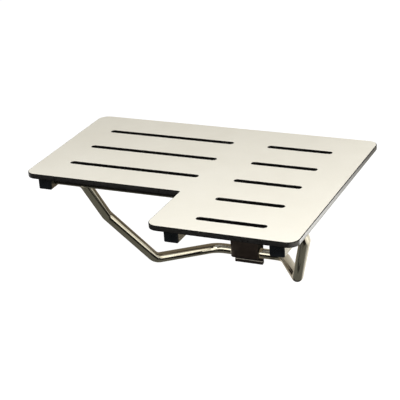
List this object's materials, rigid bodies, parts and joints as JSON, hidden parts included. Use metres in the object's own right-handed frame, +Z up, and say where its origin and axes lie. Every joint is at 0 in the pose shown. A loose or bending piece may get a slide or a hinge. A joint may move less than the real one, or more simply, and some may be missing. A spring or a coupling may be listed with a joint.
{
  "type": "fold down wall seat",
  "caption": "L shaped wall seat: slotted panel on a square tube frame that folds up on wall hinges, propped by a bent round brace in a wall guide.",
  "frame": {"origin": "on the wall, at the middle of the bolt pattern of the two hinge brackets", "axes": "+Z up, +X to the right along the wall as seen from the room, -Y out from the wall; the wall is the plane y = 0"},
  "size_m": [0.7112, 0.5983, 0.3728],
  "materials": {
    "ivory_board": "satin ivory faces on a black core",
    "satin_steel": "satin brushed stainless steel",
    "plug_black": "matt black moulded plastic",
    "zinc_fastener": "plain steel fasteners",
    "nylon": "dark grey nylon",
    "brass_insert": "turned brass",
    "dark_guide": "dark bronze coated steel"
  },
  "bodies": {
    "wall_mount": {"wall_bracket_left": "satin_steel", "wall_bracket_right": "satin_steel", "hinge_bolt_left": "zinc_fastener", "hinge_bolt_right": "zinc_fastener", "hinge_nut_left": "zinc_fastener", "hinge_nut_right": "zinc_fastener", "hinge_washers_left": "nylon", "hinge_washers_right": "nylon", "track_plate": "dark_guide", "track_stop": "dark_guide"},
    "seat": {"seat_panel": "ivory_board", "frame_tube_left": "satin_steel", "frame_tube_middle": "satin_steel", "frame_tube_right": "satin_steel", "rear_cross_tube": "satin_steel", "plug_front_left": "plug_black", "plug_front_middle": "plug_black", "plug_front_right": "plug_black", "plug_rear_left": "plug_black", "plug_rear_right": "plug_black", "hinge_lug_left": "satin_steel", "hinge_lug_right": "satin_steel", "pivot_bush_left": "nylon", "pivot_bush_right": "nylon", "panel_screws": "zinc_fastener", "panel_inserts": "brass_insert", "axle_rod": "satin_steel", "axle_nuts": "zinc_fastener"},
    "brace": {"brace_tube": "satin_steel", "cross_sleeve_left": "satin_steel", "cross_sleeve_right": "satin_steel", "sleeve_bush_left_outer": "nylon", "sleeve_bush_left_inner": "nylon", "sleeve_bush_right_inner": "nylon", "sleeve_bush_right_outer": "nylon"},
    "shoe": {"guide_shoe": "dark_guide", "shoe_liner": "nylon", "shoe_rivets": "satin_steel"}
  },
  "joints": [
    {"name": "seat_fold", "type": "hinge", "parent": "wall_mount", "child": "seat", "pos_m": [0, -0.031, 0.031], "axis": [-1, 0, 0], "range_deg": [0, 90]},
    {"name": "brace_fold", "type": "hinge", "parent": "seat", "child": "brace", "pos_m": [0, -0.3735, 0.031], "axis": [-1, 0, 0], "range_deg": [-42.32, 0]},
    {"name": "shoe_tilt", "type": "hinge", "parent": "brace", "child": "shoe", "pos_m": [-0.0095, -0.02015, -0.276], "axis": [-1, 0, 0], "range_deg": [-47.69, 0]}
  ],
  "couplings": [
    {"joint": "brace_fold", "follows": "seat_fold", "ratio": -0.47015},
    {"joint": "shoe_tilt", "follows": "seat_fold", "ratio": -0.52985}
  ]
}
